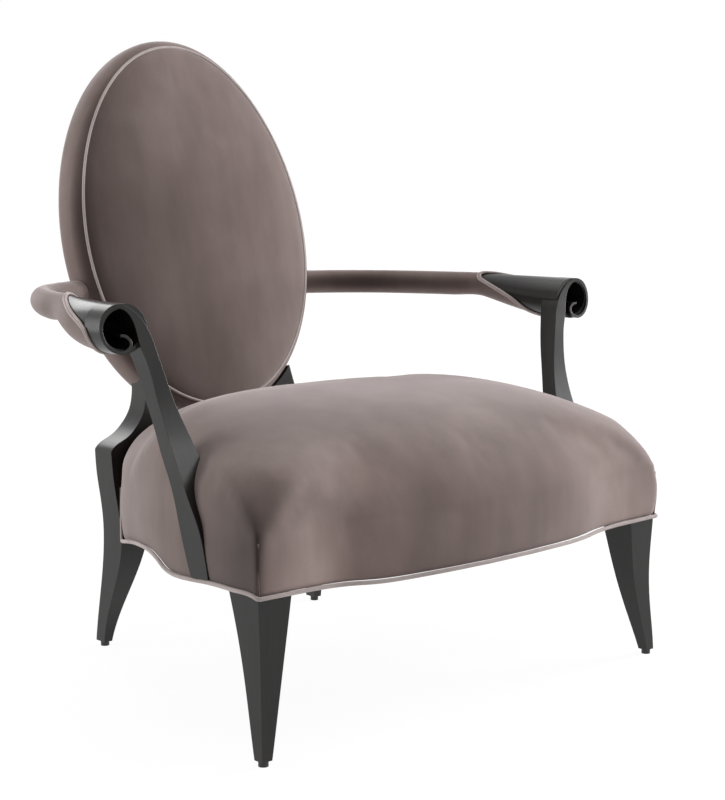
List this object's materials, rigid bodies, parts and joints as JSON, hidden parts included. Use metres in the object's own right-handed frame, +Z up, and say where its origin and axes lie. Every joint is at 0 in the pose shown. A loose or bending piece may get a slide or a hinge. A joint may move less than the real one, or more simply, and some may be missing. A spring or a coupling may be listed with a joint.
{
  "type": "upholstered armchair with an oval back",
  "caption": "Low lounge armchair: tall padded oval back, crowned tight seat with a wavy piped edge, padded arms ending in dark wood scrolls that run down as raked posts, sabre legs",
  "frame": {"origin": "bottom centre of the bounding box, on the floor between the four glides", "axes": "+X to the sitter's left, +Y to the back of the chair, +Z up; the sitter faces -Y"},
  "size_m": [1.0644, 0.895, 1.0727],
  "materials": {
    "velvet": "velvet, warm mauve taupe with a nap",
    "piping": "narrow cord in a lighter tone of the cover",
    "dark_wood": "espresso stain under satin lacquer",
    "raw_wood": "unfinished hardwood inside the upholstery",
    "foam": "upholstery foam",
    "webbing": "jute webbing",
    "hessian": "hessian",
    "lining": "black lining cloth",
    "glide_plastic": "black nail-on glide",
    "steel": "zinc plated"
  },
  "bodies": {
    "root": {"arm_core_left": "raw_wood", "arm_core_right": "raw_wood", "arm_core_screws": "steel", "arm_cover_left": "velvet", "arm_cover_right": "velvet", "arm_foam_left": "foam", "arm_foam_right": "foam", "arm_post_bolts": "steel", "arm_post_left": "dark_wood", "arm_post_right": "dark_wood", "arm_welt_left": "piping", "arm_welt_right": "piping", "back_band": "velvet", "back_edge_pads": "foam", "back_foam": "foam", "back_frame": "raw_wood", "back_frame_bolts": "steel", "back_front_cover": "velvet", "back_front_welt": "piping", "back_outside_cover": "velvet", "back_panel": "raw_wood", "back_rear_pad": "foam", "back_rear_welt": "piping", "back_webbing": "webbing", "corner_block_screws": "steel", "corner_blocks": "raw_wood", "dust_cover": "lining", "foot_glides": "glide_plastic", "front_leg_left": "dark_wood", "front_leg_right": "dark_wood", "front_rail": "raw_wood", "glide_nails": "steel", "rail_dowels": "raw_wood", "rear_leg_left": "dark_wood", "rear_leg_right": "dark_wood", "rear_rail": "raw_wood", "seat_cover": "velvet", "seat_edge_pads": "foam", "seat_foam": "foam", "seat_hessian": "hessian", "seat_webbing": "webbing", "seat_welt": "piping", "side_rail_left": "raw_wood", "side_rail_right": "raw_wood"}
  },
  "joints": []
}
